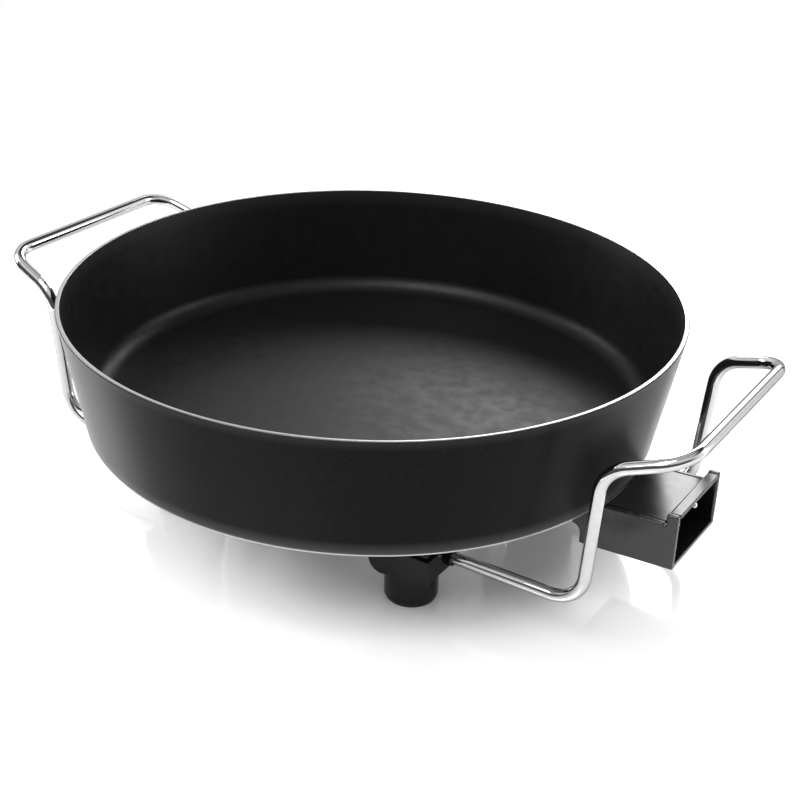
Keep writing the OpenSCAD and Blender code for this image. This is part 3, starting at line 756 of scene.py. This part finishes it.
# %% Socket shell
shell_plastic = finish("satin_black_shell", (0.004, 0.004, 0.004), (0.008, 0.008, 0.008),
                       (0.22, 0.30), grain=1300, bump=0.03, bump_grain=2600,
                       specular_ior_level=1.0)
clamp = tipped(moulding(box_outline(NECK_X + 0.4, BULK_X0 + 0.3, TUNNEL_Y, CLAMP_Y1),
                        SOCK_Z0 + 0.6, BASE_Z, "z", SMALL_EDGE,
                        [circle_outline(CLAMP_X, CLAMP_Y, BORE_R)]))
column_corners = [[SCREW_CORE, SEAT_Z], [BORE_R, SEAT_Z], [BORE_R, COLUMN_Z0],
                  [COLUMN_R, COLUMN_Z0], [COLUMN_R, COLUMN_Z1], [SCREW_CORE, COLUMN_Z1]]
column = moved(turned(rounded(column_corners, [0, 0, 0, 0, 0.4, 0], 5, closed=False), 40),
               (COLUMN_X, COLUMN_Y, 0))
bores = [circle_outline(x, side * y, BORE_R) for side in (1, -1)
         for x, y in ((COLUMN_X, COLUMN_Y), (CLAMP_X, CLAMP_Y))]
floor_plate = tipped(moulding(box_outline(NECK_X + 0.02, MOUTH_X - 0.05, -FLOOR_Y, FLOOR_Y),
                              SOCK_Z0 + 0.05, INSIDE_Z, "z", SMALL_EDGE, bores))
bulkhead = moulding(box_outline(-BULK_Y, BULK_Y, BULK_Z0, COVER_Z0), BULK_X0, BULK_X1, "x",
                    SMALL_EDGE)
halves = [mirrored(s, 1, y) for s in (side_plate, flare, clamp, column) for y in (1, -1)]
piece("socket_moulded_shell", [*halves, floor_plate, bulkhead], [shell_plastic],
      "socket_shell")

# %% [markdown]
# ## Socket cover
#
# A glossy plate lies between the side plates and climbs to the mouth. Its inner edge follows the
# pan's wall. Behind the mouth it has a groove, and then turns up into a hollow bar from one post
# to the other, whose top climbs as the plate does. Plate, groove and bar are mouldings that pass
# into each other, which keeps their outlines simple. Perfectly flat gloss looks like glass, so a
# very faint bump lets the reflections swim a little. The top is left bare.

# %% Socket cover
COVER_Y, WALL_SIDE_R, GROOVE_Z, OVERLAP = 25.8, 168.822, 60.4, 0.6
BAR_TOP, BAR_WALL, BAR_GAP, LIP_Z, BOSS_R = 68.6, 2.2, 0.4, 66.4, 3.0
cover_plastic = finish("gloss_black_cover", (0.003, 0.003, 0.003), (0.006, 0.006, 0.006),
                       (0.16, 0.24), grain=700, bump=0.012, bump_grain=900, specular_ior_level=0.7)


def raked_plate():
    """Plate whose top points rise to the raked height.

    Its inner edge goes round the pan's wall: x = sqrt(R^2 - y^2).
    """
    across = np.linspace(COVER_Y, -COVER_Y, 40)
    wall_side = np.stack([np.sqrt(WALL_SIDE_R ** 2 - across ** 2), across], -1)
    outline = np.concatenate([wall_side, [[GROOVE_X, -COVER_Y], [GROOVE_X, COVER_Y]]])
    points, faces = moulding(outline, COVER_Z0, COVER_Z1, "z", 0.25)
    top = points[:, 2] > COVER_Z1 - 1
    points[:, 2] += np.where(top, lid_height(points[:, 0]) - COVER_Z1, 0)
    return points, faces


groove = moulding(box_outline(GROOVE_X - OVERLAP, BAR_X + OVERLAP, -COVER_Y, COVER_Y, 0),
                  COVER_Z0 + 0.05, GROOVE_Z, "z", 0.05)
bar_corners = [[BAR_X, COVER_Z0 + 0.1], [BAR_X + BAR_WALL, COVER_Z0 + 0.1],
               [BAR_X + BAR_WALL, LIP_Z], [MOUTH_X, LIP_Z], [MOUTH_X, BAR_TOP],
               [BAR_X, BAR_TOP - BAR_FALL]]
bar = moulding(rounded(bar_corners, [0.2, 0.2, 0.2, 0.4, 0.6, 1.2], 6),
               BAR_GAP - COVER_Y, COVER_Y - BAR_GAP, "y", 0.15)
boss = barrel(SCREW_CORE, BOSS_R, COLUMN_Z1, COVER_Z0 + 0.5, (0.3, 0), steps=5)
bosses = [moved(boss, (COLUMN_X, side * COLUMN_Y, 0)) for side in (1, -1)]
piece("socket_gloss_cover", [raked_plate(), groove, bar, *bosses], [cover_plastic],
      "socket_cover")

# %% [markdown]
# ## Screws
#
# The socket's screws show from below, deep in their bores. A Boolean could cut the cross into a
# head. Here the head is a grid in polar coordinates whose height drops inside a cross, so the
# recess is part of the surface. The pads and the feet hide the foot and rod screws, which keep
# their CAD shape with the same zinc finish.

# %% Screws
HEAD_R, HEAD_H, SHANK_R, SHANK_TIP, AROUND_HEAD = 2.88, 2.08, 1.6, 0.4, 72
CROSS_HALF_W, CROSS_HALF_L, CROSS_DEPTH, CROSS_EDGE = 0.45, 1.5, 0.9, 0.15
zinc = finish("zinc_plated_screw", (0.46, 0.46, 0.45), (0.60, 0.60, 0.60), (0.22, 0.38),
              metal=1.0, grain=1500, bump=0.06)


def fade(distance):
    """0 outside an edge, 1 from the width of the cross's edge inside it."""
    return np.clip(distance / CROSS_EDGE, 0, 1)


def cross_screw(x, y, seat, length):
    """Screw that points up; its head's height is a shallow dome minus a cross-shaped recess.

    dome = -h (1 - 0.3 (r / R)^2), and the recess fades in at the cross's edges.
    """
    t = np.linspace(0, 2 * np.pi, AROUND_HEAD, endpoint=False)
    r = np.linspace(0.1, HEAD_R, 26)[:, None]
    px, py = r * np.cos(t), r * np.sin(t)
    bars = [fade(CROSS_HALF_W - np.abs(a)) * fade(CROSS_HALF_L - np.abs(b))
            for a, b in ((px, py), (py, px))]
    dome_z = -HEAD_H * (1 - 0.3 * (r / HEAD_R) ** 2)
    head = np.stack([px, py, dome_z + CROSS_DEPTH * np.maximum(*bars)], -1)
    shank = np.array([[HEAD_R, 0], [SHANK_R, 0], [SHANK_R, length - SHANK_TIP],
                      [SHANK_R - SHANK_TIP, length]])
    body = turned(shank, AROUND_HEAD)[0].reshape(len(shank), AROUND_HEAD, 3)
    return moved(skin(np.concatenate([head, body])), (x, y, seat))


for name, node, x, y, seat, length in (
        ("neck_screws", "socket_screws", CLAMP_X, CLAMP_Y, 51.4, 11.0),
        ("lid_screws", "cover_screws", COLUMN_X, COLUMN_Y, SEAT_Z, 19.0)):
    piece(name, [cross_screw(x, side * y, seat, length) for side in (1, -1)], [zinc],
          node)
for name in ("foot_screws", "rod_screws"):
    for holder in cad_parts[name].material_slots:
        holder.material = zinc
print("screws wear", zinc.name)

# %% [markdown]
# ## Studio: the room
#
# The pan stands on a pale floor before white. A camera ray that meets the world sees plain
# white, and the pan is lit by an even fill. A mirror ray sees a room instead: behind the pan a
# white wall with a dark band above it, then a dark gap and a pale side wall at the right, and
# towards the viewer a dim room under a bright ceiling. Chrome needs these bands, because a rod
# in an all-white room has no edges. Two ramps over the height of the ray give the two halves of
# the room, a third one over its X part gives the side wall, and its Y part mixes the halves.

# %% World
ROOM_FILL, HALVES_MEET = 0.58, (-0.2, 0.4)
BEHIND = ((0.0, 1.0), (0.60, 1.0), (0.66, 0.07), (0.78, 0.07), (0.86, 0.55), (1.0, 0.55))
BEFORE = ((0.0, 0.08), (0.36, 0.08), (0.58, 0.75), (0.80, 0.75), (0.95, 0.45), (1.0, 0.45))
SIDE_WALL = ((0.0, 1.0), (0.13, 1.0), (0.16, 0.06), (0.24, 0.06), (0.27, 0.92), (1.0, 0.92))
world = bpy.data.worlds.new("studio")
scene.world = world
world.use_nodes = True


def background(nodes, strength):
    """White background shader of one strength."""
    shader = nodes.new("ShaderNodeBackground")
    shader.inputs["Color"].default_value = (1, 1, 1, 1)
    shader.inputs["Strength"].default_value = strength
    return shader


def combined(nodes, links, operation, first, second):
    """Socket of a Math node that combines two sockets."""
    node = nodes.new("ShaderNodeMath")
    node.operation = operation
    links.new(first, node.inputs[0])
    links.new(second, node.inputs[1])
    return node.outputs["Value"]


def mirror_ray(nodes, links, rays):
    """1 for a ray that comes from a glossy or a clear surface, else 0."""
    return combined(nodes, links, "MAXIMUM",
                    rays.outputs["Is Glossy Ray"], rays.outputs["Is Transmission Ray"])


def build_room(nodes, links):
    """Fill light for the pan, the banded room for mirror rays and white for the camera."""
    rays = nodes.new("ShaderNodeLightPath")
    way = nodes.new("ShaderNodeTexCoord")
    parts = nodes.new("ShaderNodeSeparateXYZ")
    links.new(way.outputs["Generated"], parts.inputs["Vector"])
    depth = map_range(nodes, links, parts.outputs["Y"], HALVES_MEET)
    before, behind, side = (colour_ramp(nodes, stops) for stops in (BEFORE, BEHIND, SIDE_WALL))
    for ramp, axis in ((before, "Z"), (behind, "Z"), (side, "X")):
        links.new(parts.outputs[axis], ramp.inputs["Fac"])
    far_wall = nodes.new("ShaderNodeVectorMath")
    far_wall.operation = "MULTIPLY"
    links.new(behind.outputs["Color"], far_wall.inputs[0])
    links.new(side.outputs["Color"], far_wall.inputs[1])
    walls = nodes.new("ShaderNodeMix")
    walls.data_type = "RGBA"
    links.new(depth, walls.inputs[MIX_SHARE])
    links.new(before.outputs["Color"], walls.inputs[MIX_A])
    links.new(far_wall.outputs["Vector"], walls.inputs[MIX_B])
    room = background(nodes, 1.0)
    links.new(walls.outputs[MIX_RESULT], room.inputs["Color"])
    seen = background(nodes, ROOM_FILL).outputs["Background"]
    for shader, ray in ((room, mirror_ray(nodes, links, rays)),
                        (background(nodes, 1.0), rays.outputs["Is Camera Ray"])):
        mix = nodes.new("ShaderNodeMixShader")
        links.new(ray, mix.inputs["Fac"])
        links.new(seen, mix.inputs[1])
        links.new(shader.outputs["Background"], mix.inputs[2])
        seen = mix.outputs["Shader"]
    links.new(seen, nodes["World Output"].inputs["Surface"])


build_room(world.node_tree.nodes, world.node_tree.links)
scene.view_settings.view_transform = "Standard"
print("room fill:", ROOM_FILL)

# %% [markdown]
# ## Studio: the floor
#
# The floor is a pale glossy sheet, so the pan stands on a faint mirror image of itself. Its
# white is lifted by a glow that the camera sees, and mirror rays in part, and that starts a
# little way out from under the pan, so the missing glow paints a shadow round the pan on top of
# the rendered one. The glow adds no diffuse light to the pan, but its gloss shows the glow as
# painted light. The sheet ends a little beyond the picture at the left and in front, so that the
# chrome also has a dark side. Far from the pan the gloss fades and the glow grows to full white
# for the camera, which hides these ends.

# %% Floor
# The glow is missing within a span round a point under the pan, which paints a soft shadow there.
FLOOR_GLOW, PAINTED_SHADOW_CENTRE, PAINTED_SHADOW_EDGE, GLOW_IN_MIRRORS = 0.40, (0.04, 0.005, 0), (0.085, 0.16), 0.4
FAR_GLOW, FAR_SPAN = 1.0, (0.30, 0.45)
REACH, LEFT_END, FRONT_END = 6.0, -0.45, -0.60
sheet = [(LEFT_END, FRONT_END, 0), (REACH, FRONT_END, 0), (REACH, REACH, 0), (LEFT_END, REACH, 0)]
floor_mesh = bpy.data.meshes.new("floor")
floor_mesh.from_pydata(sheet, [], [(0, 1, 2, 3)])
floor = bpy.data.objects.new("floor", floor_mesh)
scene.collection.objects.link(floor)
pale = bpy.data.materials.new("pale_gloss_floor")
pale.use_nodes = True
floor_mesh.materials.append(pale)


def build_floor(nodes, links):
    """Glossy pale sheet whose glow shows to the camera and, in part, to mirror rays.

    The glow rises smoothly with the distance from a point under the pan, and once more far from
    it, where only the camera sees it. The larger of the two counts. The gloss ends over the same
    far distance.
    """
    shader = nodes["Principled BSDF"]
    shader.inputs["Base Color"].default_value = (0.82, 0.82, 0.82, 1)
    shader.inputs["Roughness"].default_value = 0.10
    shader.inputs["Coat Roughness"].default_value = 0.06
    shader.inputs["Emission Color"].default_value = (1, 1, 1, 1)
    rays = nodes.new("ShaderNodeLightPath")
    by_camera = rays.outputs["Is Camera Ray"]
    in_mirrors = map_range(nodes, links, mirror_ray(nodes, links, rays), to=(0, GLOW_IN_MIRRORS))
    seen = combined(nodes, links, "MAXIMUM", by_camera, in_mirrors)
    place, away = nodes.new("ShaderNodeTexCoord"), nodes.new("ShaderNodeVectorMath")
    away.operation = "DISTANCE"
    away.inputs[1].default_value = PAINTED_SHADOW_CENTRE
    links.new(place.outputs["Object"], away.inputs[0])
    far = away.outputs["Value"]
    gloss = map_range(nodes, links, far, FAR_SPAN, (1, 0), smooth=True)
    for socket in ("Specular IOR Level", "Coat Weight"):
        links.new(gloss, shader.inputs[socket])
    glows = []
    # The near glow rises away from the pan: a painted shadow edge that the camera and mirror rays
    # see.
    for span, strength, ray in ((PAINTED_SHADOW_EDGE, FLOOR_GLOW, seen), (FAR_SPAN, FAR_GLOW, by_camera)):
        rise = map_range(nodes, links, far, span, (0, strength), smooth=True)
        glows.append(combined(nodes, links, "MULTIPLY", rise, ray))
    links.new(combined(nodes, links, "MAXIMUM", *glows), shader.inputs["Emission Strength"])


build_floor(pale.node_tree.nodes, pale.node_tree.links)
print("floor glow:", FLOOR_GLOW)

# %% [markdown]
# ## Studio: the lamps
#
# Four soft boxes are enough. One stands behind the pan and gives the socket's gloss its sheen,
# one hangs in front, so that the shadow falls under the pan and the upper edges catch a thin
# line of light, and one on each side draws the light edges of the wall. Small lamps would do
# for the shadow, but black gloss shows its lamps, and large ones give it calm highlights.

# %% Lamps
def soft_box(name, place, aim, size, radiance):
    """Rectangular area lamp that faces a point.

    Its power is pi times its area times its radiance.
    """
    data = bpy.data.lights.new(name, "AREA")
    data.shape = "RECTANGLE"
    data.size, data.size_y = size
    data.energy = math.pi * size[0] * size[1] * radiance
    box = bpy.data.objects.new(name, data)
    scene.collection.objects.link(box)
    box.location = place
    box.rotation_euler = (Vector(aim) - Vector(place)).to_track_quat("-Z", "Y").to_euler()
    print(name, "power", round(data.energy, 1))


soft_box("back_soft_box", (-0.26, 1.28, 0.85), (0.19, 0, 0.06), (0.9, 0.5), 6.0)
soft_box("front_soft_box", (-0.1, -0.9, 1.5), (0.05, -0.15, 0), (1.0, 1.1), 4.5)
soft_box("left_soft_box", (-1.3, -0.2, 0.5), (0, 0, 0.08), (0.5, 0.9), 5.0)
soft_box("right_soft_box", (1.1, 0.9, 0.45), (0.1, 0, 0.08), (0.5, 0.8), 4.0)
